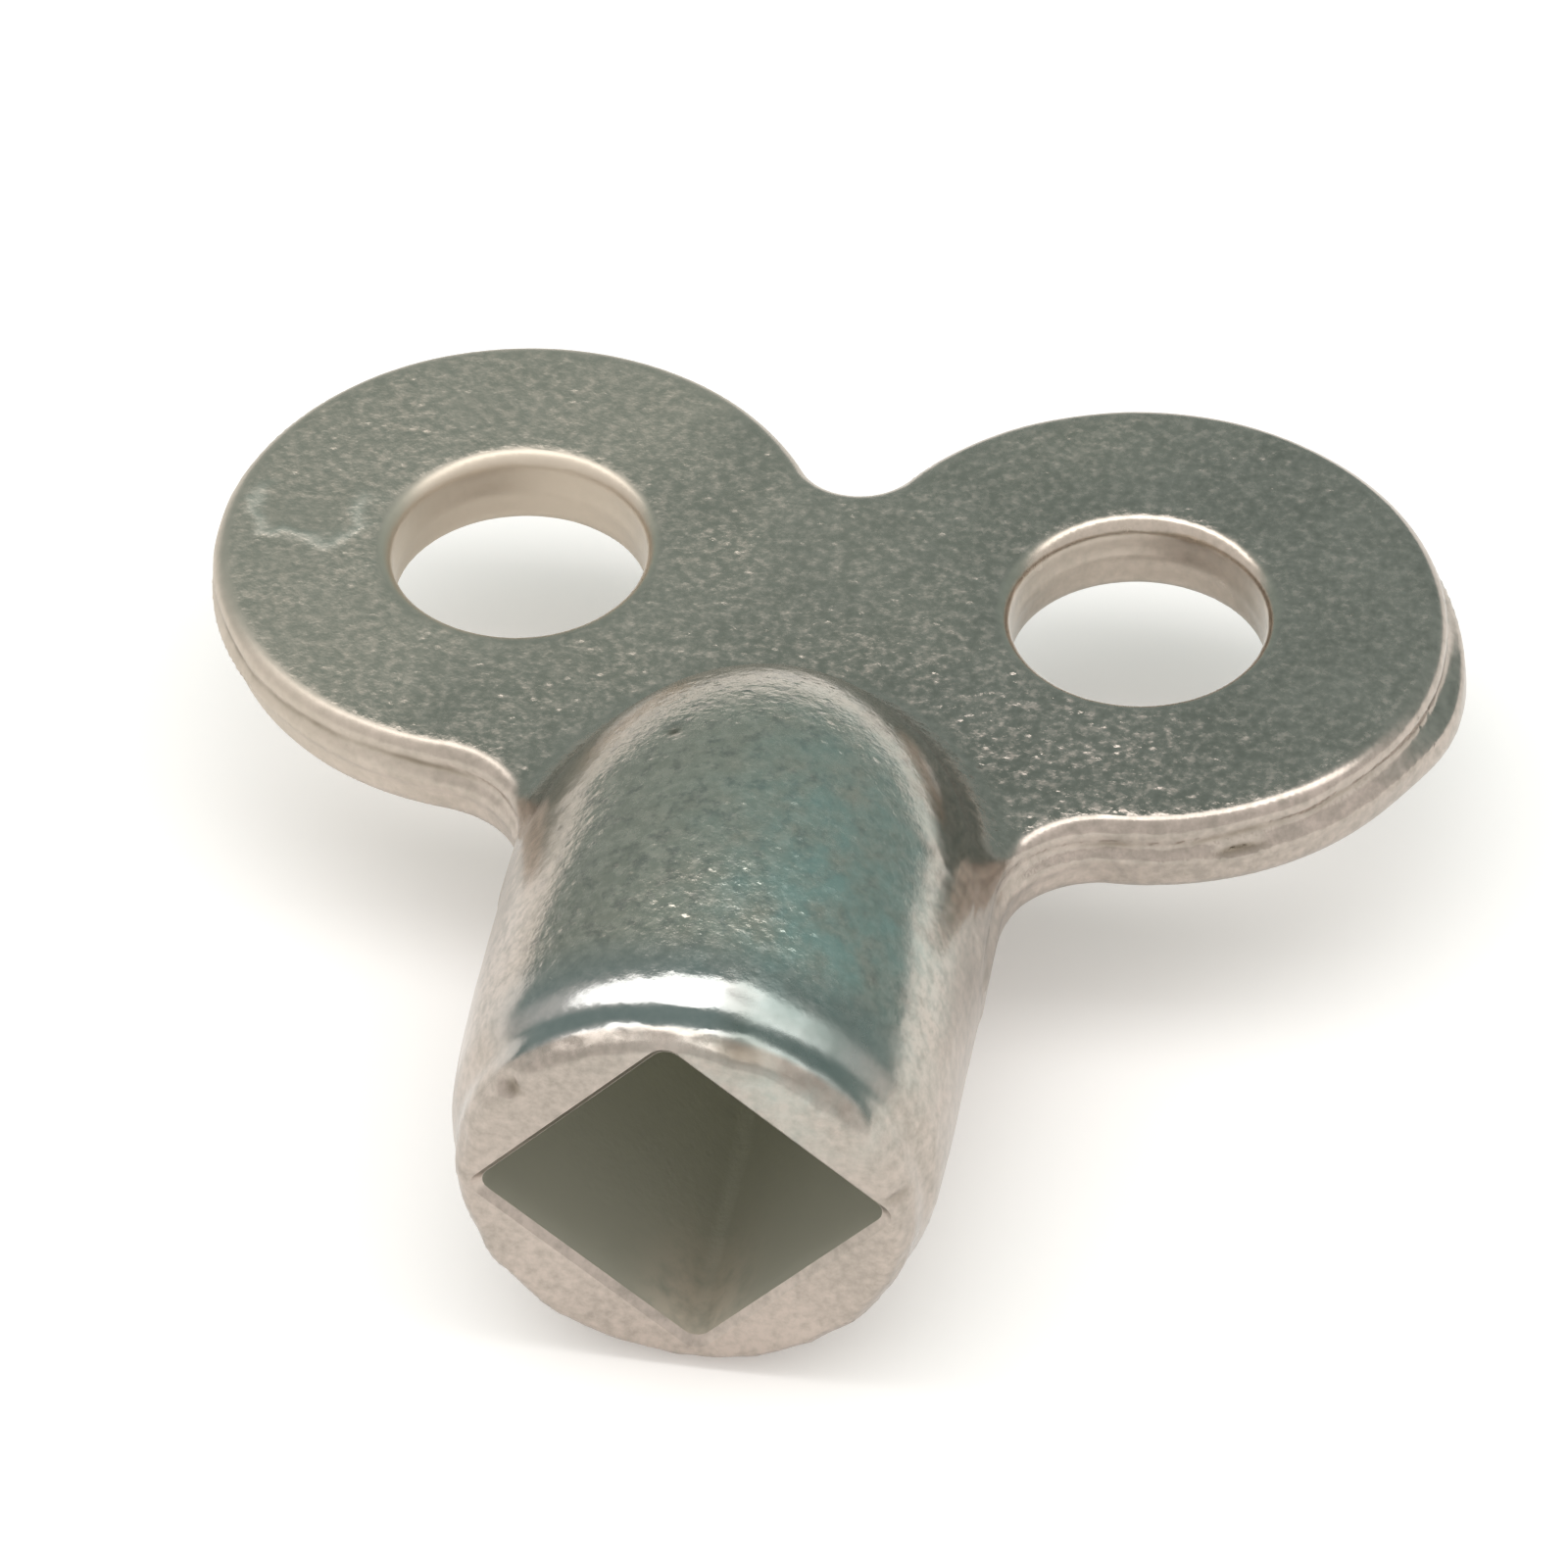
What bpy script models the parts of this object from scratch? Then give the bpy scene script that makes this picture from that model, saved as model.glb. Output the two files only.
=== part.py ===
"""Radiator bleed key: one zinc die casting with a finger plate of two eyes and a square drive socket.

X runs across the two eyes, Y along the barrel away from its mouth, and Z up through the plate.
The parting plane of the casting is Z = 0, and the origin is the middle of the key's bounding box.
"""

import math

import bmesh
import bpy

MM = 0.001

# Driving dimensions. The square fits the 5 mm spindle of a bleed valve with 0.2 mm of play.
SOCKET_FLATS = 5.2 * MM
SOCKET_DEPTH = 7.5 * MM
BARREL_RADIUS = 4.4 * MM
DOME_START = 5.85 * MM
DOME_LENGTH = 6.15 * MM
EYE_SPACING = 11.6 * MM
EYE_RADIUS = 2.33 * MM
LOBE_RADIUS = 5.73 * MM
LOBE_DISTANCE = 15.14 * MM
PLATE_THICKNESS = 1.7 * MM
PLATE_EDGE_ROUND = 0.45 * MM
SIDE_TUCK = 0.08 * MM
NOTCH_ROUND = 1.1 * MM
SHOULDER_ROUND = 1.85 * MM

# The two cones of the mouth, as (distance from the mouth, radius), with a small step between them.
LIP_PROFILE = (
    (0.00 * MM, 3.74 * MM),
    (0.07 * MM, 3.82 * MM),
    (0.62 * MM, 4.00 * MM),
    (0.68 * MM, 4.16 * MM),
    (1.15 * MM, 4.36 * MM),
)

BARREL_STEPS = 64
DOME_STEPS = 12
EYE_STEPS = 40
LOBE_STEPS = 36
ROUND_STEPS = 8
EDGE_SEGMENTS = 3

KEY_LENGTH = LOBE_DISTANCE + LOBE_RADIUS
MOUTH_Y = -KEY_LENGTH / 2
LOBE_X = EYE_SPACING / 2
LOBE_Y = MOUTH_Y + LOBE_DISTANCE


def clear_scene():
    for old in list(bpy.data.objects):
        bpy.data.objects.remove(old, do_unlink=True)


def zinc_material():
    material = bpy.data.materials.new("cast_zinc")
    material.use_nodes = True
    shader = material.node_tree.nodes["Principled BSDF"]
    shader.inputs["Base Color"].default_value = (0.42, 0.42, 0.39, 1.0)
    shader.inputs["Metallic"].default_value = 1.0
    shader.inputs["Roughness"].default_value = 0.35
    return material


def add_object(name, mesh_source):
    """Turn a bmesh into an object with outward faces."""
    bmesh.ops.recalc_face_normals(mesh_source, faces=mesh_source.faces)
    mesh = bpy.data.meshes.new(name)
    mesh_source.to_mesh(mesh)
    mesh_source.free()
    made = bpy.data.objects.new(name, mesh)
    bpy.context.scene.collection.objects.link(made)
    return made


def arc(centre, radius, start, end, steps):
    """Points of a circular arc in the XY plane, both ends included."""
    points = []
    for index in range(steps + 1):
        angle = start + (end - start) * index / steps
        points.append((centre[0] + radius * math.cos(angle), centre[1] + radius * math.sin(angle)))
    return points


def half_outline():
    """The plate's outline at X >= 0, from the notch round the lobe to the barrel's side."""
    notch_reach = LOBE_RADIUS + NOTCH_ROUND
    notch_y = LOBE_Y + math.sqrt(notch_reach**2 - LOBE_X**2)
    shoulder_reach = LOBE_RADIUS + SHOULDER_ROUND
    shoulder_x = BARREL_RADIUS + SHOULDER_ROUND
    shoulder_y = LOBE_Y - math.sqrt(shoulder_reach**2 - (shoulder_x - LOBE_X) ** 2)

    lobe_centre = (LOBE_X, LOBE_Y)
    notch_centre = (0.0, notch_y)
    shoulder_centre = (shoulder_x, shoulder_y)
    notch_to_lobe = math.atan2(LOBE_Y - notch_y, LOBE_X)
    lobe_to_notch = notch_to_lobe + math.pi
    lobe_to_shoulder = math.atan2(shoulder_y - LOBE_Y, shoulder_x - LOBE_X)
    shoulder_to_lobe = lobe_to_shoulder + math.pi

    points = arc(notch_centre, NOTCH_ROUND, -math.pi / 2, notch_to_lobe, ROUND_STEPS)
    points += arc(lobe_centre, LOBE_RADIUS, lobe_to_notch, lobe_to_shoulder, LOBE_STEPS)[1:]
    points += arc(shoulder_centre, SHOULDER_ROUND, shoulder_to_lobe, math.pi, ROUND_STEPS)[1:]
    points.append((BARREL_RADIUS - SIDE_TUCK, MOUTH_Y + DOME_START - SIDE_TUCK))
    return points


def finger_plate():
    """The flat plate with its two lobes; its front end runs into the barrel."""
    right = half_outline()
    left = [(-x, y) for x, y in reversed(right[1:])]
    shape = bmesh.new()
    bottom = -PLATE_THICKNESS / 2
    ring = [shape.verts.new((x, y, bottom)) for x, y in right + left]
    base = shape.faces.new(ring)
    raised = bmesh.ops.extrude_face_region(shape, geom=[base])["geom"]
    top_verts = [item for item in raised if isinstance(item, bmesh.types.BMVert)]
    bmesh.ops.translate(shape, verts=top_verts, vec=(0, 0, PLATE_THICKNESS))
    return add_object("finger_plate", shape)


def eye_cutter(side):
    shape = bmesh.new()
    bmesh.ops.create_cone(
        shape,
        cap_ends=True,
        segments=EYE_STEPS,
        radius1=EYE_RADIUS,
        radius2=EYE_RADIUS,
        depth=PLATE_THICKNESS * 2,
    )
    bmesh.ops.translate(shape, verts=shape.verts, vec=(side * LOBE_X, LOBE_Y, 0))
    return add_object("eye_cutter", shape)


def barrel():
    """The socket barrel, turned about the Y axis, from its stepped mouth to its domed rear end."""
    profile = [(0.0, 0.0)] + list(LIP_PROFILE)
    for index in range(DOME_STEPS + 1):
        angle = math.pi / 2 * index / DOME_STEPS
        profile.append((DOME_START + DOME_LENGTH * math.sin(angle), BARREL_RADIUS * math.cos(angle)))
    shape = bmesh.new()
    verts = [shape.verts.new((radius, MOUTH_Y + distance, 0)) for distance, radius in profile]
    edges = [shape.edges.new(pair) for pair in zip(verts, verts[1:])]
    bmesh.ops.spin(
        shape,
        geom=verts + edges,
        axis=(0, 1, 0),
        angle=2 * math.pi,
        steps=BARREL_STEPS,
        use_merge=True,
    )
    bmesh.ops.remove_doubles(shape, verts=shape.verts, dist=0.001 * MM)
    return add_object("barrel", shape)


def socket_cutter():
    """The square core of the socket, with its corners up, down, left and right."""
    shape = bmesh.new()
    reach = SOCKET_FLATS / math.sqrt(2)
    front = MOUTH_Y - SOCKET_DEPTH
    corners = ((reach, 0), (0, reach), (-reach, 0), (0, -reach))
    base = shape.faces.new([shape.verts.new((x, front, z)) for x, z in corners])
    pushed = bmesh.ops.extrude_face_region(shape, geom=[base])["geom"]
    end_verts = [item for item in pushed if isinstance(item, bmesh.types.BMVert)]
    bmesh.ops.translate(shape, verts=end_verts, vec=(0, 2 * SOCKET_DEPTH, 0))
    return add_object("socket_cutter", shape)


def combine(body, tool, operation):
    """Boolean one object into another, and keep the tool out of sight."""
    modifier = body.modifiers.new(tool.name, "BOOLEAN")
    modifier.operation = operation
    modifier.solver = "EXACT"
    modifier.object = tool
    tool.hide_render = True
    tool.display_type = "WIRE"


def main():
    clear_scene()
    plate = finger_plate()
    for side in (-1, 1):
        combine(plate, eye_cutter(side), "DIFFERENCE")
    rounding = plate.modifiers.new("cast edges", "BEVEL")
    rounding.limit_method = "ANGLE"
    rounding.angle_limit = math.radians(60)
    rounding.width = PLATE_EDGE_ROUND
    rounding.segments = EDGE_SEGMENTS

    key = barrel()
    key.name = "key_casting"
    key.data.materials.append(zinc_material())
    combine(key, plate, "UNION")
    combine(key, socket_cutter(), "DIFFERENCE")
    key.data.shade_smooth()
    key.data.set_sharp_from_angle(angle=math.radians(30))


main()
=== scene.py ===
"""Radiator bleed key, one zinc die casting, on a pale light table."""

import math

import bpy
from mathutils import Matrix, Vector


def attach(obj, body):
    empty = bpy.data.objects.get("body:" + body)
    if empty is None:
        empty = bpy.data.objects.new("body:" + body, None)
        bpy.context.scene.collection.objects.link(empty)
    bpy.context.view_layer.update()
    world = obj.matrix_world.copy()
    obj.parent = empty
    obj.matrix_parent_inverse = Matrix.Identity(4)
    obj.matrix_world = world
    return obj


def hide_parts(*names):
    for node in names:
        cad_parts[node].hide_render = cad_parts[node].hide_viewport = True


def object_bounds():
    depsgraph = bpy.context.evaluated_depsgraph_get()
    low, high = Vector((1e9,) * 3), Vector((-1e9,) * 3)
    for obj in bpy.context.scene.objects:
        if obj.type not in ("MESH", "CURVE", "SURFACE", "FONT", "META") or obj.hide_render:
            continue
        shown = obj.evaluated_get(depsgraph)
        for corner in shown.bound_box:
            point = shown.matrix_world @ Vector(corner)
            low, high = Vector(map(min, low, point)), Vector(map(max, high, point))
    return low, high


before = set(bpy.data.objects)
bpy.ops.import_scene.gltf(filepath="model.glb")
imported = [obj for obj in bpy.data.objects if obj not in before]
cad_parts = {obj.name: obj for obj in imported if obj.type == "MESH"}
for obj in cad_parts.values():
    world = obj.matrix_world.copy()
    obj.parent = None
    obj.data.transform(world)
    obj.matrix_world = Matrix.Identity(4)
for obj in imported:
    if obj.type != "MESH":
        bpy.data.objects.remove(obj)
cad_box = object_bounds()


# --- The camera, table and lights -------------------------------------------------------------
# The key lies on a white light table under one soft overhead lamp, in an otherwise dim room.
# The camera looks down on the socket's mouth through a long lens, a little from the right.

MM = 0.001
VIEW_AZIMUTH = math.radians(-10.8)
VIEW_ELEVATION = math.radians(44.05)
VIEW_ROLL = math.radians(-1.2)
VIEW_DISTANCE = 170 * MM
VIEW_LENS = 215.0
VIEW_NEAREST = 5 * MM

TABLE_SIZE = 3.0
TABLE_COLOUR = (0.93, 0.915, 0.90, 1.0)
TABLE_GLOW = 0.20
TABLE_ROUGHNESS = 0.9
ROOM_COLOUR = (0.33, 0.42, 0.405, 1.0)
NEAR_COLOUR = (0.92, 0.90, 0.87, 1.0)
HORIZON_COLOUR = (0.92, 0.90, 0.88, 1.0)
HORIZON_HEIGHT = (-0.01, 0.03)
NEAR_SIDE = (0.42, 0.0)
LAMP_HEIGHT = 0.35
LAMP_WIDTH = 1.15
LAMP_DEPTH = 0.16
LAMP_POWER = 1.0


def place_camera(target):
    """Aim a long lens at the target from the front, above and slightly to the right."""
    camera_data = bpy.data.cameras.new("camera")
    camera_data.lens = VIEW_LENS
    camera_data.clip_start = VIEW_NEAREST
    camera = bpy.data.objects.new("camera", camera_data)
    bpy.context.scene.collection.objects.link(camera)
    ahead = Vector((math.sin(VIEW_AZIMUTH), math.cos(VIEW_AZIMUTH), 0)) * math.cos(VIEW_ELEVATION)
    look = ahead - Vector((0, 0, math.sin(VIEW_ELEVATION)))
    turn = look.to_track_quat("-Z", "Y").to_matrix() @ Matrix.Rotation(VIEW_ROLL, 3, "Z")
    camera.matrix_world = Matrix.Translation(target - look * VIEW_DISTANCE) @ turn.to_4x4()
    bpy.context.scene.camera = camera


def lay_table(height):
    """A wide table top that glows faintly, so that its surface stays nearly white under the key."""
    mesh = bpy.data.meshes.new("light_table")
    half = TABLE_SIZE / 2
    corners = [(-half, -half, height), (half, -half, height), (half, half, height), (-half, half, height)]
    mesh.from_pydata(corners, [], [(0, 1, 2, 3)])
    table = bpy.data.objects.new("light_table", mesh)
    bpy.context.scene.collection.objects.link(table)
    top = bpy.data.materials.new("table_top")
    top.use_nodes = True
    shader = top.node_tree.nodes["Principled BSDF"]
    shader.inputs["Base Color"].default_value = TABLE_COLOUR
    shader.inputs["Roughness"].default_value = TABLE_ROUGHNESS
    shader.inputs["Specular IOR Level"].default_value = 0.0
    shader.inputs["Emission Color"].default_value = TABLE_COLOUR
    shader.inputs["Emission Strength"].default_value = TABLE_GLOW
    mesh.materials.append(top)


def hang_lamp(target):
    """A long soft lamp straight over the target, across the view."""
    data = bpy.data.lights.new("overhead_lamp", "AREA")
    data.shape = "ELLIPSE"
    data.size = LAMP_WIDTH
    data.size_y = LAMP_DEPTH
    data.energy = LAMP_POWER
    lamp = bpy.data.objects.new("overhead_lamp", data)
    bpy.context.scene.collection.objects.link(lamp)
    lamp.location = target + Vector((0, 0, LAMP_HEIGHT))


def dim_room():
    """A dim grey-green room beyond the table, pale at its horizon and on the camera's side."""
    world = bpy.data.worlds.new("room")
    world.use_nodes = True
    nodes, links = world.node_tree.nodes, world.node_tree.links
    direction = nodes.new("ShaderNodeTexCoord")
    split = nodes.new("ShaderNodeSeparateXYZ")
    links.new(direction.outputs["Generated"], split.inputs[0])

    def fade(axis, start, end, one, two):
        climb = nodes.new("ShaderNodeMapRange")
        climb.interpolation_type = "SMOOTHSTEP"
        climb.inputs["From Min"].default_value = start
        climb.inputs["From Max"].default_value = end
        links.new(split.outputs[axis], climb.inputs["Value"])
        blend = nodes.new("ShaderNodeMix")
        blend.data_type = "RGBA"
        links.new(climb.outputs["Result"], blend.inputs["Factor"])
        for side, colour in (("A", one), ("B", two)):
            if isinstance(colour, tuple):
                blend.inputs[side].default_value = colour
            else:
                links.new(colour, blend.inputs[side])
        return blend.outputs["Result"]

    room = fade("Y", *NEAR_SIDE, ROOM_COLOUR, NEAR_COLOUR)
    room = fade("Z", *HORIZON_HEIGHT, HORIZON_COLOUR, room)
    links.new(room, nodes["Background"].inputs["Color"])
    bpy.context.scene.world = world


low, high = Vector(cad_box[0]), Vector(cad_box[1])
middle = (low + high) / 2
place_camera(middle)
lay_table(low.z)
hang_lamp(middle)
dim_room()
bpy.context.scene.view_settings.view_transform = "Standard"


# --- The key's casting ------------------------------------------------------------------------
# One piece of zinc alloy, injected into a two-part steel die that opens along Z. The die's halves
# meet in a fine seam round the whole edge, and a square core from the front leaves the socket.

SOCKET_FLATS = 5.2 * MM
SOCKET_DEPTH = 7.5 * MM
SOCKET_DRAFT = 0.05 * MM
SOCKET_FLARE = 0.13 * MM
BARREL_RADIUS = 4.4 * MM
DOME_START = 5.85 * MM
DOME_LENGTH = 6.15 * MM
EYE_SPACING = 11.6 * MM
EYE_RADIUS = 2.33 * MM
LOBE_RADIUS = 5.73 * MM
LOBE_DISTANCE = 15.14 * MM
NOTCH_ROUND = 1.1 * MM
SHOULDER_ROUND = 1.85 * MM
PLATE_THICKNESS = 1.7 * MM
PLATE_EDGE_ROUND = 0.40 * MM
EYE_EDGE_ROUND = 0.34 * MM
CAST_FILLET = 0.8 * MM
CAST_BLEND = 0.06 * MM
PLATE_DRAFT = 0.05
WEB_OVERLAP = 1.0 * MM
SEAM_HEIGHT = 0.07 * MM
SEAM_WIDTH = 0.14 * MM
SEAM_IN_EYES = 0.4
HALVES_BLEND = 0.10 * MM
DIE_SLIP = 0.20 * MM
LAYER_PLACE = 0.34 * MM
LAYER_DEPTH = 0.085 * MM
LAYER_WIDTH = 0.13 * MM
LAYER_WAVES_PER_METRE = 340.0
WAVE_HEIGHT = 0.035 * MM
WAVES_PER_METRE = 400.0

# The mouth: a cone out from the face, a short land, a second cone, and a taper out to the full
# barrel. All of them are turned about a line a little below the barrel's axis.
LIP_DROP = 0.26 * MM
FACE_RADIUS = 3.84 * MM
FACE_SLOPE = 0.60
LAND_DISTANCE = 0.43 * MM
LAND_RADIUS = 4.09 * MM
LAND_SLOPE = 0.06
CONE_DISTANCE = 0.82 * MM
CONE_SLOPE = 0.44
TAPER_DISTANCE = 1.36 * MM
TAPER_SLOPE = 0.10
CONE_ROUND = 0.07 * MM
TAPER_ROUND = 0.09 * MM
LAND_FILLET = 0.03 * MM
RIM_ROUND = 0.07 * MM
LIP_WAVE_HEIGHT = 0.22 * MM
LIP_WAVES_PER_METRE = 1500.0
LAND_END = 2 * CONE_DISTANCE

# The core that leaves the socket sat a little low and turned in the die, with rounded corners.
CORE_DROP = 0.10 * MM
CORE_TURN = math.radians(3.0)
CORE_CORNER_ROUND = 0.3 * MM
CORE_CORNER_STEPS = 5
CORE_OVERRUN = 0.5 * MM

# Faults of the casting: a pit and a nick in the mouth's face, a cold fold in the right lobe's edge,
# a pit on the dome, two dents in the lip, and a spur of flash at the right lobe's far end. Each has,
# in millimetres, its place to the right, behind the mouth and up, its half sizes and its depth, which
# is below zero where metal stands proud, and then how much its colour is darkened.
FAULTS = (
    ((-2.92, 0.05, 2.17), (0.17, 0.20, 0.14), 0.28, 0.9),
    ((4.00, 0.0, 0.45), (0.30, 0.30, 0.13), 0.30, 0.9),
    ((8.45, 10.0, 0.05), (0.55, 0.30, 0.08), 0.16, 0.9),
    ((-1.36, 7.33, 4.05), (0.13, 0.13, 0.13), 0.08, 0.8),
    ((0.90, 0.95, 4.05), (0.33, 0.45, 0.50), 0.10, 0.25),
    ((1.15, 0.20, 3.75), (0.55, 0.22, 0.50), 0.10, 0.8),
    ((11.60, 14.6, -0.45), (0.60, 1.60, 0.38), -0.26, 0.0),
)

# The metal's mesh is as fine as these cells, and the box that they fill reaches past the key.
CELL = 0.105 * MM
SKIN_CELLS = 4.0
MARGIN_CELLS = 6


class Wire:
    """One output of a node tree: arithmetic on it adds Math nodes, and node() adds any other node."""

    def __init__(self, socket):
        self.socket = socket
        self.tree = socket.id_data

    def node(self, kind, settings, inputs, output=0):
        made = self.tree.nodes.new(kind)
        for name, setting in settings.items():
            setattr(made, name, setting)
        for name, value in inputs.items():
            if isinstance(value, Wire):
                self.tree.links.new(value.socket, made.inputs[name])
            else:
                made.inputs[name].default_value = value
        return Wire(made.outputs[output])

    def maths(self, operation, *values):
        return self.node("ShaderNodeMath", {"operation": operation}, dict(enumerate((self,) + values)))

    def __add__(self, other):
        return self.maths("ADD", other)

    __radd__ = __add__

    def __sub__(self, other):
        return self.maths("SUBTRACT", other)

    def __rsub__(self, other):
        return (self * -1.0) + other

    def __mul__(self, other):
        return self.maths("MULTIPLY", other)

    __rmul__ = __mul__

    def __truediv__(self, other):
        return self.maths("DIVIDE", other)

    def __abs__(self):
        return self.maths("ABSOLUTE")

    def least(self, other):
        return self.maths("MINIMUM", other)

    def most(self, other):
        return self.maths("MAXIMUM", other)

    def root(self):
        return self.maths("SQRT")

    def reach(self, other):
        """Length of the right-angled pair."""
        return (self * self + other * other).root()

    def parts(self):
        """The three coordinates of a vector."""
        return [self.node("ShaderNodeSeparateXYZ", {}, {0: self}, axis) for axis in range(3)]


def filleted_union(one, two, radius):
    """Two solids' distances joined, with a fillet of this radius in the corner between them."""
    inside = (radius - one).most(0.0).reach((radius - two).most(0.0))
    return one.least(two).most(radius) - inside


def rounded_overlap(one, two, radius):
    """What two solids share, with its edge rounded to this radius."""
    outside = (one + radius).most(0.0).reach((two + radius).most(0.0))
    return one.most(two).least(radius * -1.0) + outside


def tapered_bar(outline, length, start, end):
    """A closed bar up the Z axis, whose outline is scaled from start to end along its length."""
    top = outline.node("ShaderNodeCombineXYZ", {}, {"Z": length})
    path = outline.node("GeometryNodeCurvePrimitiveLine", {}, {"End": top})
    scale = outline.node("GeometryNodeSplineParameter", {}, {}) * (end - start) + start
    swept = {"Curve": path, "Profile Curve": outline, "Scale": scale, "Fill Caps": True}
    return outline.node("GeometryNodeCurveToMesh", {}, swept)


def waves(place, per_metre, octaves=2.0, roughness=0.5):
    """Noise from 0 to 1 with this many waves to the metre."""
    settings = {"Vector": place, "Scale": per_metre, "Detail": octaves, "Roughness": roughness}
    return place.node("ShaderNodeTexNoise", {}, settings)


def ridge(away, width):
    """A soft ridge: 1 where the distance is none, and nearly 0 at twice the width."""
    share = away / width
    return (share * share * -1.0).maths("EXPONENT")


def hollow(place, centre, size, depth):
    """A soft-edged hollow or patch: its full depth at the centre, and hardly any at twice its size."""
    away = place.node("ShaderNodeVectorMath", {"operation": "SUBTRACT"}, {0: place, 1: centre})
    away = place.node("ShaderNodeVectorMath", {"operation": "DIVIDE"}, {0: away, 1: size})
    away = place.node("ShaderNodeVectorMath", {"operation": "LENGTH"}, {0: away}, output="Value")
    return (away * away * -1.0).maths("EXPONENT") * depth


def behind_mouth(place):
    """A place given in millimetres to the right, behind the mouth and up, in the model's own frame."""
    return tuple(Vector(place) * MM + Vector((0, low.y, 0)))


def layer_height(place):
    """How high the wavy line between two layers of metal runs along the plate's edge."""
    return waves(place, LAYER_WAVES_PER_METRE) * LAYER_PLACE * 2


# The sizes that the casting's node tree takes as named inputs.
SIZES = {
    "Socket flats": SOCKET_FLATS,
    "Socket depth": SOCKET_DEPTH,
    "Barrel radius": BARREL_RADIUS,
    "Dome start": DOME_START,
    "Dome length": DOME_LENGTH,
    "Eye spacing": EYE_SPACING,
    "Eye radius": EYE_RADIUS,
    "Lobe radius": LOBE_RADIUS,
    "Lobe distance": LOBE_DISTANCE,
    "Notch round": NOTCH_ROUND,
    "Shoulder round": SHOULDER_ROUND,
    "Plate thickness": PLATE_THICKNESS,
    "Plate edge round": PLATE_EDGE_ROUND,
    "Eye edge round": EYE_EDGE_ROUND,
    "Cast fillet": CAST_FILLET,
    "Die slip": DIE_SLIP,
    "Core corner round": CORE_CORNER_ROUND,
    "Mouth": low.y,
    "Cell": CELL,
}


def casting_tree(material):
    """The node tree that fills the die: a solid from distances, meshed, with the socket's core pulled."""
    tree = bpy.data.node_groups.new("bleed_key_casting", "GeometryNodeTree")
    tree.interface.new_socket("Geometry", in_out="OUTPUT", socket_type="NodeSocketGeometry")
    for name, size in SIZES.items():
        made = tree.interface.new_socket(name, in_out="INPUT", socket_type="NodeSocketFloat")
        made.subtype = "DISTANCE"
        made.default_value = size
    entry = tree.nodes.new("NodeGroupInput")
    size = {name: Wire(entry.outputs[name]) for name in SIZES}

    place = Wire(tree.nodes.new("GeometryNodeInputPosition").outputs[0])
    x, y, z = place.parts()
    lower_half = (0.5 - z / (2 * HALVES_BLEND)).most(0.0).least(1.0)
    aside = abs(x)
    slipped = abs(x - size["Die slip"] * lower_half)
    deep = y - size["Mouth"]
    lobe_x = size["Eye spacing"] * 0.5

    # The plate's outline: a lobe round each eye, and a web between them with round corners.
    from_eye = (aside - lobe_x).reach(deep - size["Lobe distance"])
    lobe = (slipped - lobe_x).reach(deep - size["Lobe distance"]) - size["Lobe radius"]
    notch_reach = size["Lobe radius"] + size["Notch round"]
    notch_rise = (notch_reach * notch_reach - lobe_x * lobe_x).root()
    notch_deep = size["Lobe distance"] + notch_rise
    shoulder_x = size["Barrel radius"] + size["Shoulder round"]
    shoulder_reach = size["Lobe radius"] + size["Shoulder round"]
    shoulder_aside = shoulder_x - lobe_x
    shoulder_drop = (shoulder_reach * shoulder_reach - shoulder_aside * shoulder_aside).root()
    shoulder_deep = size["Lobe distance"] - shoulder_drop
    past_notch = (aside * notch_rise + (deep - notch_deep) * lobe_x) / notch_reach
    past_shoulder = (
        (aside - lobe_x) * shoulder_drop + (deep - size["Lobe distance"]) * shoulder_aside
    ) / shoulder_reach
    web = past_notch.most(past_shoulder).most(shoulder_deep - deep)
    web = web.most(size["Notch round"] - aside.reach(deep - notch_deep))
    web = web.most(size["Shoulder round"] - (aside - shoulder_x).reach(deep - shoulder_deep))
    strip = (aside - size["Barrel radius"]).most(deep - shoulder_deep - WEB_OVERLAP)
    strip = strip.most(size["Dome start"] - deep)
    draft = abs(z) * PLATE_DRAFT
    layer = ridge(z - layer_height(place), LAYER_WIDTH) * LAYER_DEPTH
    seam = ridge(z, SEAM_WIDTH) * SEAM_HEIGHT
    outline = lobe.least(web).least(strip) + draft + layer - seam
    eye = size["Eye radius"] - from_eye + draft - seam * SEAM_IN_EYES

    # The barrel: a round bar with a domed end, and a mouth turned down in two cones with a step.
    along_dome = (deep - size["Dome start"]).most(0.0) / size["Dome length"]
    round_dome = x.reach(z) / size["Barrel radius"]
    dome = along_dome.reach(round_dome)
    steepness = (along_dome / size["Dome length"]).reach(round_dome / size["Barrel radius"])
    bar = dome * (dome - 1.0) / steepness
    from_line = x.reach(z + LIP_DROP)

    def cone(distance, radius, slope):
        return (from_line - radius - (deep - distance) * slope) / math.hypot(1, slope)

    cone_radius = LAND_RADIUS + (CONE_DISTANCE - LAND_DISTANCE) * LAND_SLOPE
    taper_radius = cone_radius + (TAPER_DISTANCE - CONE_DISTANCE) * CONE_SLOPE
    bar = rounded_overlap(bar, cone(TAPER_DISTANCE, taper_radius, TAPER_SLOPE), TAPER_ROUND)
    bar = rounded_overlap(bar, cone(CONE_DISTANCE, cone_radius, CONE_SLOPE), CONE_ROUND)
    land = cone(LAND_DISTANCE, LAND_RADIUS, LAND_SLOPE).most(deep - LAND_END)
    bar = filleted_union(bar, land, LAND_FILLET)
    chatter = (waves(place, LIP_WAVES_PER_METRE) - 0.5) * LIP_WAVE_HEIGHT
    bar = rounded_overlap(bar, cone(0.0, FACE_RADIUS, FACE_SLOPE) + chatter, RIM_ROUND)

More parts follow.
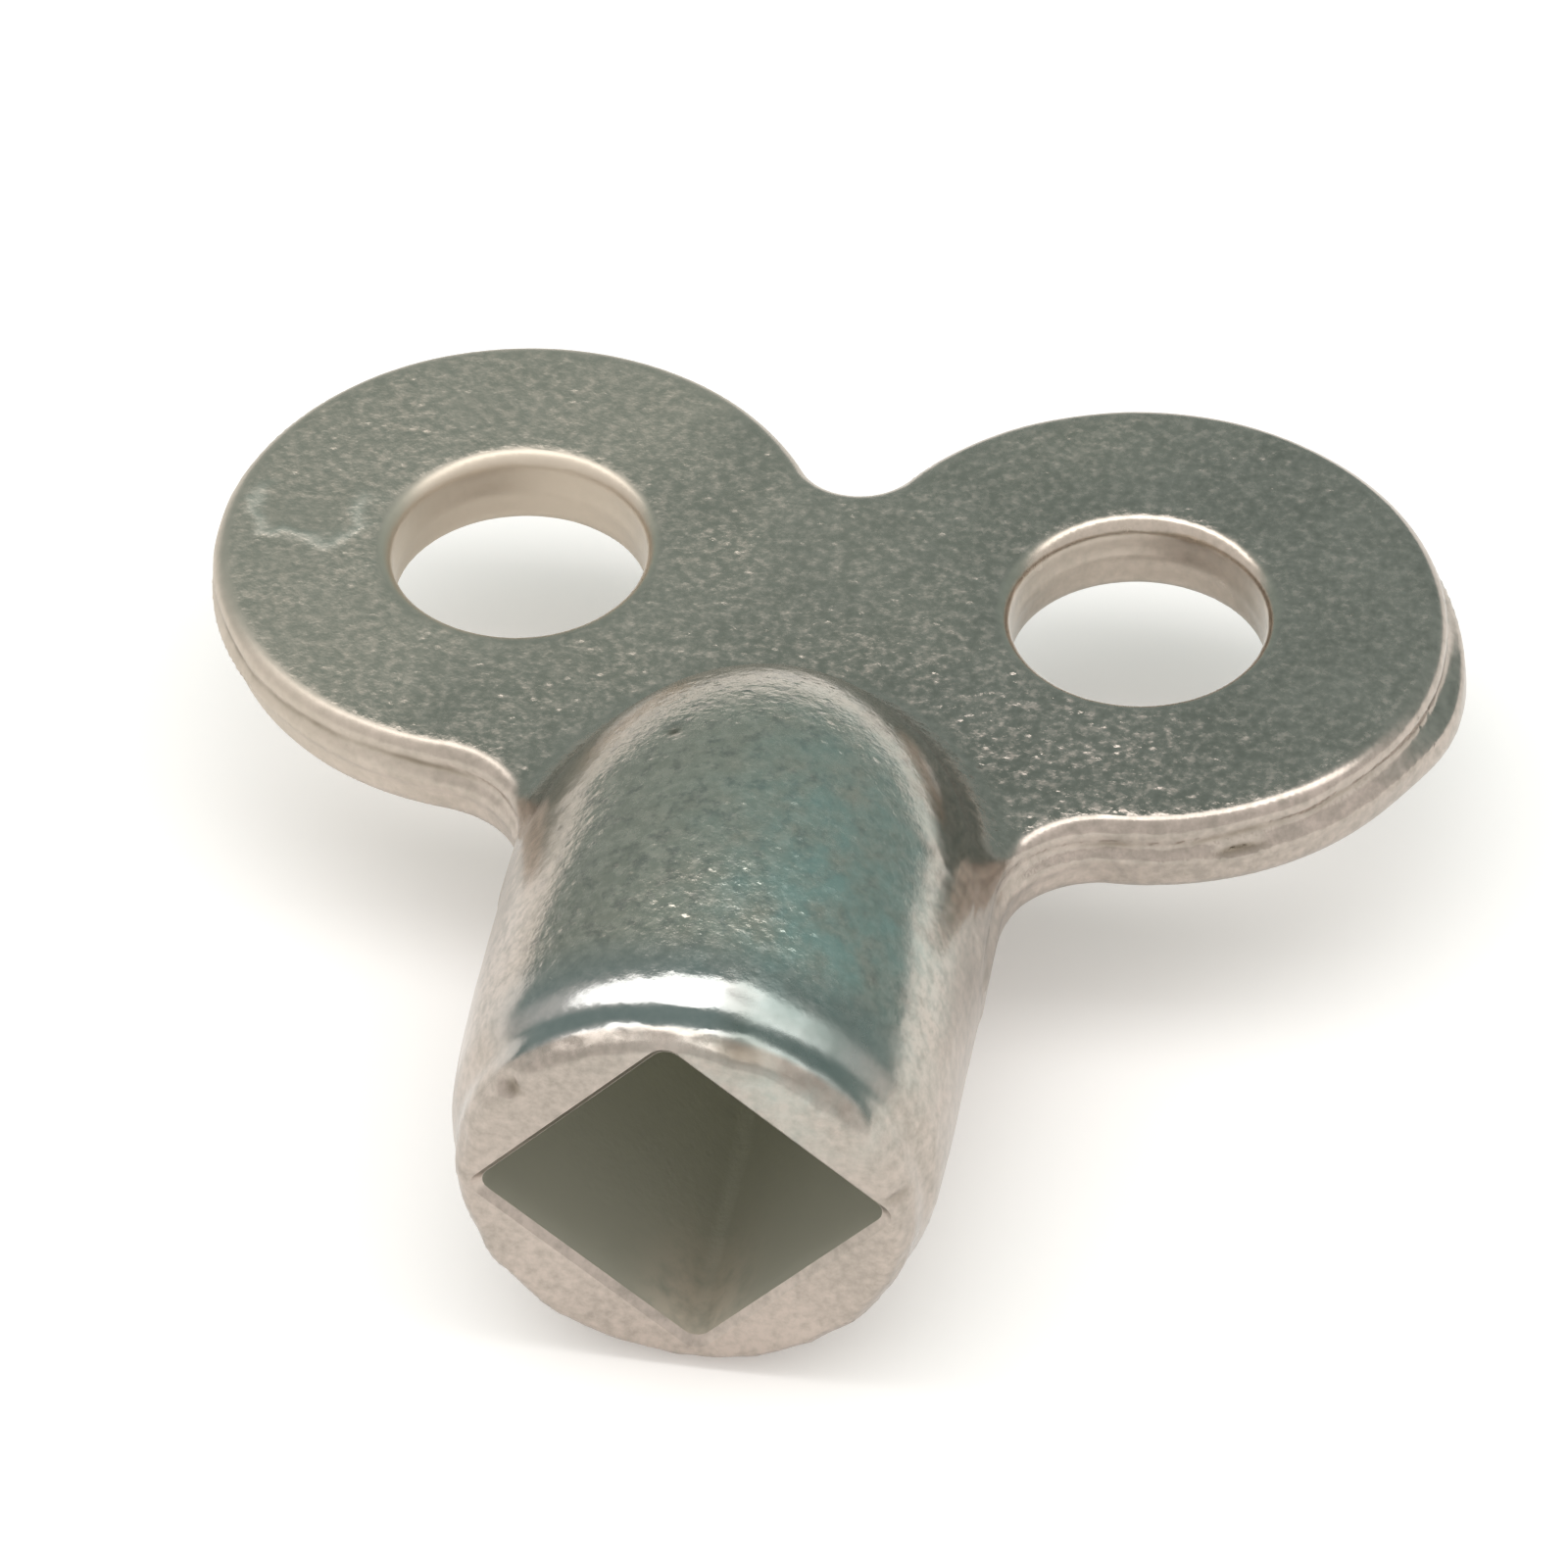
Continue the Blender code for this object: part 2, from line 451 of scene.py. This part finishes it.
    # The plate's flat faces run up into the bar in a fillet, and its edges are rounded over.
    slab = abs(z) - size["Plate thickness"] * 0.5
    plate = filleted_union(bar, slab, size["Cast fillet"])
    plate = rounded_overlap(plate, outline, size["Plate edge round"])
    plate = rounded_overlap(plate, eye, size["Eye edge round"])
    body = filleted_union(bar, plate, CAST_BLEND)
    body = body + (waves(place, WAVES_PER_METRE) - 0.5) * WAVE_HEIGHT
    for centre, half_size, depth, _ in FAULTS:
        body = body + hollow(place, behind_mouth(centre), tuple(Vector(half_size) * MM), depth * MM)
    body = rounded_overlap(body, deep * -1.0, RIM_ROUND)

    # Metal fills every cell where the distance is below zero.
    inside = (0.5 - body / (size["Cell"] * SKIN_CELLS)).most(0.0).least(1.0)
    margin = CELL * MARGIN_CELLS
    cells = [round((high[axis] - low[axis] + 2 * margin) / CELL) for axis in range(3)]
    block = inside.node(
        "GeometryNodeVolumeCube",
        {},
        {
            "Density": inside,
            "Min": tuple(low - Vector((margin,) * 3)),
            "Max": tuple(high + Vector((margin,) * 3)),
            "Resolution X": cells[0],
            "Resolution Y": cells[1],
            "Resolution Z": cells[2],
        },
    )
    metal = block.node(
        "GeometryNodeVolumeToMesh",
        {"resolution_mode": "GRID"},
        {"Volume": block, "Threshold": 0.5},
    )

    # The socket's core: a square bar with its corners up, down and to the sides, flared at the mouth.
    square = place.node(
        "GeometryNodeCurvePrimitiveQuadrilateral",
        {"mode": "RECTANGLE"},
        {"Width": size["Socket flats"], "Height": size["Socket flats"]},
    )
    square = square.node(
        "GeometryNodeFilletCurve",
        {"mode": "POLY"},
        {"Curve": square, "Count": CORE_CORNER_STEPS, "Radius": size["Core corner round"]},
    )
    narrowed = 1.0 - 2 * SOCKET_DRAFT / SOCKET_FLATS
    widened = 1.0 + 2 * (SOCKET_FLARE + CORE_OVERRUN) / SOCKET_FLATS
    core = tapered_bar(square, size["Socket depth"] + CORE_OVERRUN, 1.0, narrowed)
    flare = tapered_bar(square, SOCKET_FLARE + CORE_OVERRUN, widened, 1.0)
    front = place.node("ShaderNodeCombineXYZ", {}, {"Y": size["Mouth"] - CORE_OVERRUN, "Z": -CORE_DROP})
    stood = {"Rotation": (0.0, 0.0, math.radians(45) - CORE_TURN)}
    laid = {"Rotation": (-math.pi / 2, 0.0, 0.0), "Translation": front}
    core = core.node("GeometryNodeTransform", {}, {"Geometry": core, **stood})
    core = core.node("GeometryNodeTransform", {}, {"Geometry": core, **laid})
    flare = flare.node("GeometryNodeTransform", {}, {"Geometry": flare, **stood})
    flare = flare.node("GeometryNodeTransform", {}, {"Geometry": flare, **laid})
    for tool in (core, flare):
        metal = metal.node(
            "GeometryNodeMeshBoolean",
            {"operation": "DIFFERENCE", "solver": "MANIFOLD"},
            {"Mesh 1": metal, "Mesh 2": tool},
        )
    metal = metal.node("GeometryNodeRealizeInstances", {}, {"Geometry": metal})
    metal = metal.node("GeometryNodeSetMaterial", {}, {"Geometry": metal, "Material": material})
    leave = tree.nodes.new("NodeGroupOutput")
    tree.links.new(metal.socket, leave.inputs[0])
    return tree


# The finish: tumbled and thinly plated zinc. Each pattern in it has its waves per metre, its octaves,
# their roughness, its middle value and its swing about that.
ZINC = (0.51, 0.44, 0.39, 1.0)
ZINC_DULL = (0.35, 0.31, 0.27, 1.0)
ZINC_PALE = (0.66, 0.58, 0.48, 1.0)
ZINC_SAND = (0.22, 0.20, 0.19, 1.0)
SCAR_PALE = (0.80, 0.76, 0.68, 1.0)
PASSIVATED = (0.40, 0.56, 0.53, 1.0)
# Painted highlight: a cool grey for the lip's top, where the lamp's highlight lies, to tint it.
LIP_HIGHLIGHT_TINT = (0.40, 0.42, 0.42, 1.0)
# A darker green and brown for the right half of the lip.
DARKER_LIP_GREEN = (0.15, 0.19, 0.17, 1.0)
DARKER_LIP_BROWN = (0.22, 0.18, 0.15, 1.0)
# A dark brown that darkens the colour in the layered edge's crease and in the faults.
DARKENING_COLOUR = (0.17, 0.14, 0.10, 1.0)
# The socket's dark grey is partly painted shade, and its paler far end is painted light against the deeper
# shade there.
SOCKET_GREY_AND_SHADE = (0.33, 0.325, 0.265, 1.0)
SOCKET_FAR_PAINTED_LIGHT = (0.60, 0.60, 0.50, 1.0)
PATTERNS = {
    "matte": (260.0, 3.0, 0.5, 0.12, 1.2),
    "patches": (420.0, 4.0, 0.6, 0.45, 1.4),
    "coarse": (500.0, 2.0, 0.5, 1.0, 1.1),
    "darkened": (700.0, 3.0, 0.5, 0.6, 3.0),
    "darker_lip": (900.0, 3.0, 0.5, 0.9, 2.0),
    "scar": (900.0, 4.0, 0.5, 0.0, 1.5 * MM),
    "sheen": (1300.0, 3.0, 0.5, 0.145, 0.05),
    "bloom": (1400.0, 4.0, 0.6, 0.7, 2.6),
    "blotches": (2000.0, 3.0, 0.6, 0.0, 1.0),
    "dust": (2600.0, 3.0, 0.5, 0.8, 3.0),
    "sand": (3300.0, 3.0, 0.7, 0.0, 6.0),
    "grain": (4200.0, 3.0, 0.6, 0.0, 0.030 * MM),
    "mottle": (4600.0, 4.0, 0.62, 0.0, 1.0),
}
PITS_PER_METRE = 3600.0
PIT_REACH = 0.34
PIT_DEPTH = 0.0158 * MM
PIT_CHANCE = 0.72

# Places on the key: the bloom on the barrel, the harder peened web, the scar and the socket's dust.
BLOOM_PLACE = behind_mouth((2.1, 3.835, 4.0))
BLOOM_SIZE = (2.2 * MM, 4.6 * MM, 2.5 * MM)
PEENED_PLACE = behind_mouth((4.0, 11.035, 0.8))
PEENED_SIZE = (5.0 * MM, 3.0 * MM, 2.0 * MM)
DUST_PLACE = behind_mouth((0.1, 0.5, -3.3))
DUST_SIZE = (0.9 * MM, 1.6 * MM, 0.9 * MM)
DUST_COVER = 0.8
SCAR_PLACE = behind_mouth((-9.75, 15.635, 0.85))
SCAR_RADIUS = 1.05 * MM
SCAR_WIDTH = 0.15 * MM
SCAR_HEIGHT = 0.02 * MM
SCAR_END = (SCAR_PLACE[1] + 0.1 * MM, 0.5 * MM)
SCAR_LEVEL = 0.5 * MM

# How fast the matte comes in across and along the key, per metre, how wide and dark the layered
# edge's crease is, and how far past the core its skin is looked for and how metallic it is.
MATTE_ACROSS = -85.0
MATTE_ALONG = 60.0
CREASE_WIDTH = 0.075 * MM
CREASE_DARKENING = 0.8
SKIN_MARGIN = 0.02 * MM
SKIN_METAL = 0.1

# How strongly the patterns show: how much grain the lip and the flanks have lost, what the harder
# peening adds, how the blotches and the mottle stand out on each part, how pale its metal is, and
# where the mottle's rough specks are fewer.
LIP_WORN = 0.85
FLANK_WORN = 0.95
PEENED_GRAIN = 0.6
PEENED_PITS = 0.5
BLOTCHES = 0.6
BLOTCHES_MATTE = 0.5
MOTTLE = 2.6
MOTTLE_BARREL = 2.4
MOTTLE_MATTE = -0.6
PALE_MATTE = 0.5
PALE_BARREL = 0.5
# Painted light: the eyes' walls are made paler against the shade in the holes.
EYE_WALLS_PAINTED_LIGHT = 0.35
SAND_LOST_ON_FLANKS = 0.6
SPECK_CONTRAST = 3.8
SPECK_MIDDLE = 0.3
SPECKS_LOST_ON_BARREL = 0.7
SPECKS_LOST_ON_MATTE = 0.35

# Where each part of the skin starts or starts to end, and over how much more it comes in or dies
# out. These run behind the mouth, then up, then to the side, then from an eye's middle, and the last
# two go by how squarely the surface faces up.
LIP_END = (1.2 * MM, 1.2 * MM)
RIM_END = (LAND_DISTANCE - 0.1 * MM, 0.1 * MM)
FACE_END = (0.05 * MM, 0.1 * MM)
CREASE_START = (5.0 * MM, 1.0 * MM)
BARREL_START = (1.5 * MM, 0.5 * MM)
LIP_TOP_START = (2.0 * MM, 1.0 * MM)
EDGE_TOP = (0.90 * MM, 0.05 * MM)
DARKER_LIP_START = (0.55 * MM, 0.5 * MM)
EYE_END = (EYE_RADIUS + 0.2 * MM, 0.1 * MM)
EDGE_FACING = (0.962, 0.03)
STEEP_FACING = (0.62, 0.35)


def cast_zinc():
    """Tumbled and thinly plated zinc: grey metal with a fine peened grain, pits and a blue-green bloom."""
    material = bpy.data.materials.new("cast_zinc_finish")
    material.use_nodes = True
    nodes, links = material.node_tree.nodes, material.node_tree.links
    shader = nodes["Principled BSDF"]
    coordinates = nodes.new("ShaderNodeTexCoord").outputs
    place = Wire(coordinates["Object"])
    x, y, z = place.parts()
    facing = abs(Wire(coordinates["Normal"]).parts()[2])
    behind = y - low.y

    def limited(wire):
        return wire.most(0.0).least(1.0)

    def past(wire, start, width):
        """0 up to the start, and 1 from a width after it."""
        return limited((wire - start) / width)

    def pattern(name):
        per_metre, octaves, roughness, middle, swing = PATTERNS[name]
        return (waves(place, per_metre, octaves, roughness) - 0.5) * swing + middle

    def blend(share, one, two):
        inputs = {"Factor": share, "A": one, "B": two}
        return place.node("ShaderNodeMix", {"data_type": "RGBA"}, inputs, output="Result")

    # One lobe is left matter and paler than the other, the lip is rubbed smooth, the edges and steep
    # flanks are smoother than the flats, and one side of the web is peened harder.
    matte = limited(x * MATTE_ACROSS + y * MATTE_ALONG + pattern("matte"))
    lip = 1.0 - past(behind, *LIP_END)
    rim = 1.0 - past(behind, *RIM_END)
    on_barrel = past(z, *BARREL_START) * (1.0 - lip)
    edge = (1.0 - past(facing, *EDGE_FACING)) * (1.0 - past(abs(z), *EDGE_TOP))
    steep = 1.0 - past(facing, *STEEP_FACING)
    from_eye = (abs(x) - EYE_SPACING / 2).reach(behind - LOBE_DISTANCE)
    in_eye = 1.0 - past(from_eye, *EYE_END)
    peened = hollow(place, PEENED_PLACE, PEENED_SIZE, 1.0)

    # Grain from tumbling, and scattered pits just under 0.2 mm wide.
    cells = {"Vector": place, "Scale": PITS_PER_METRE}
    from_pit = place.node("ShaderNodeTexVoronoi", {}, cells, output="Distance")
    chance = place.node("ShaderNodeTexVoronoi", {}, cells, output="Color").parts()[0]
    pitted = (chance + peened * PEENED_PITS).maths("GREATER_THAN", PIT_CHANCE)
    pits = (1.0 - from_pit / PIT_REACH).most(0.0) * pitted * PIT_DEPTH
    coarse = pattern("coarse") + peened * PEENED_GRAIN
    coarse = coarse * (1.0 - lip * LIP_WORN) * (1.0 - edge.most(steep) * FLANK_WORN)

    # A pale cold-flow mark curls over the matte lobe.
    ends = {0: place, 1: SCAR_PLACE}
    from_scar = place.node("ShaderNodeVectorMath", {"operation": "DISTANCE"}, ends, output="Value")
    scar = ridge(from_scar - SCAR_RADIUS + pattern("scar"), SCAR_WIDTH)
    scar = scar * (1.0 - past(y, *SCAR_END)) * z.maths("GREATER_THAN", SCAR_LEVEL)
    height = (pattern("grain") - pits) * coarse + scar * SCAR_HEIGHT
    bump = place.node("ShaderNodeBump", {}, {"Height": height, "Distance": 1.0, "Strength": 1.0})

    # Dull and pale patches, eye walls paled as painted light against their shade, and dark grains on the
    # barrel.
    mottle = pattern("mottle")
    shade = pattern("patches") + pattern("blotches") * (matte * BLOTCHES_MATTE + BLOTCHES)
    shade = shade - mottle * (on_barrel * MOTTLE_BARREL + matte * MOTTLE_MATTE + MOTTLE)
    pale = matte * PALE_MATTE + on_barrel * (1.0 - steep) * PALE_BARREL + in_eye * EYE_WALLS_PAINTED_LIGHT
    sand = limited(pattern("sand")) * on_barrel * (1.0 - steep * SAND_LOST_ON_FLANKS)
    bloom = hollow(place, BLOOM_PLACE, BLOOM_SIZE, 1.0) * pattern("bloom")

    # The lip's right half is made darker and duller, green behind the land and brown before it.
    lip_top = lip * past(z, *LIP_TOP_START) * past(behind, *FACE_END)
    darker_lip = lip_top * past(x, *DARKER_LIP_START) * limited(pattern("darker_lip"))

    # The colour is darkened along the layered edge's crease and in the faults.
    crease = ridge(z - layer_height(place), CREASE_WIDTH) * (1.0 - in_eye)
    crease = crease * past(behind, *CREASE_START) * past(abs(x), *CREASE_START)
    darkened = crease * limited(pattern("darkened")) * CREASE_DARKENING
    for centre, half_size, _, darkness in FAULTS:
        if darkness:
            darkened = darkened + hollow(place, behind_mouth(centre), tuple(Vector(half_size) * MM), darkness)

    # The socket keeps the core's dull, rough skin, which the tumbling doesn't reach, and its dark grey is
    # partly painted shade; dust has caught in its lowest corner.
    raised = z + CORE_DROP
    turned = x * math.cos(CORE_TURN) + raised * math.sin(CORE_TURN)
    risen = raised * math.cos(CORE_TURN) - x * math.sin(CORE_TURN)
    in_socket = (abs(turned) + abs(risen)).maths("LESS_THAN", SOCKET_FLATS / math.sqrt(2) + SKIN_MARGIN)
    in_socket = in_socket * behind.maths("GREATER_THAN", SOCKET_FLARE)
    in_socket = in_socket * behind.maths("LESS_THAN", SOCKET_DEPTH + SKIN_MARGIN)
    # Painted light: the socket grows paler towards its far end, against the deeper shade there.
    skin_and_painted_light = blend(limited(behind / SOCKET_DEPTH), SOCKET_GREY_AND_SHADE, SOCKET_FAR_PAINTED_LIGHT)
    dust = hollow(place, DUST_PLACE, DUST_SIZE, DUST_COVER) * limited(pattern("dust"))

    # The colour, coat by coat: where each coat lies, how much it hides of what is below, its colour.
    colour = ZINC
    for where, cover, coat in (
        (shade, 1.0, ZINC_DULL),
        (pale, 1.0, ZINC_PALE),
        (scar, 0.45, SCAR_PALE),
        (sand, 0.55, ZINC_SAND),
        (bloom, 0.7, PASSIVATED),
        # Painted highlight: the lip's top, where the lamp's highlight lies, is tinted a cool grey.
        (lip_top * (1.0 - rim), 0.7, LIP_HIGHLIGHT_TINT),
        (darker_lip, 0.75, blend(rim, DARKER_LIP_GREEN, DARKER_LIP_BROWN)),
        (darkened, 1.0, DARKENING_COLOUR),
        (in_socket, 1.0, blend(dust, skin_and_painted_light, ZINC_PALE)),
    ):
        colour = blend(limited(where) * cover, colour, coat)

    # The roughness: where it is more than the bare metal's, and how much each adds.
    specks = limited(mottle * SPECK_CONTRAST + SPECK_MIDDLE) * coarse
    specks = specks * (1.0 - on_barrel * SPECKS_LOST_ON_BARREL - matte * SPECKS_LOST_ON_MATTE)
    dullness = pattern("sheen")
    for where, added in (
        (specks, 0.26),
        (matte, 0.20),
        (scar, 0.08),
        (on_barrel * (1.0 - steep), 0.10),
        (rim, 0.10),
        (darker_lip, 0.16),
        (edge, 0.06),
        (steep, 0.04),
        (in_socket, 0.40),
    ):
        dullness = dullness + where * added

    links.new(colour.socket, shader.inputs["Base Color"])
    links.new((1.0 - in_socket * (1.0 - SKIN_METAL)).socket, shader.inputs["Metallic"])
    links.new(dullness.socket, shader.inputs["Roughness"])
    links.new(bump.socket, shader.inputs["Normal"])
    return material


SHARP_ANGLE = math.radians(35)


def cast_key():
    """Fill the die, and keep the result as a plain mesh."""
    finish = cast_zinc()
    holder = bpy.data.objects.new("die", bpy.data.meshes.new("die"))
    bpy.context.scene.collection.objects.link(holder)
    modifier = holder.modifiers.new("casting", "NODES")
    modifier.node_group = casting_tree(finish)
    depsgraph = bpy.context.evaluated_depsgraph_get()
    mesh = bpy.data.meshes.new_from_object(holder.evaluated_get(depsgraph), depsgraph=depsgraph)
    bpy.data.objects.remove(holder)
    mesh.shade_smooth()
    mesh.set_sharp_from_angle(angle=SHARP_ANGLE)
    key = bpy.data.objects.new("bleed_key_casting", mesh)
    bpy.context.scene.collection.objects.link(key)
    return key


key = cast_key()
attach(key, "root")
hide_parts("key_casting")
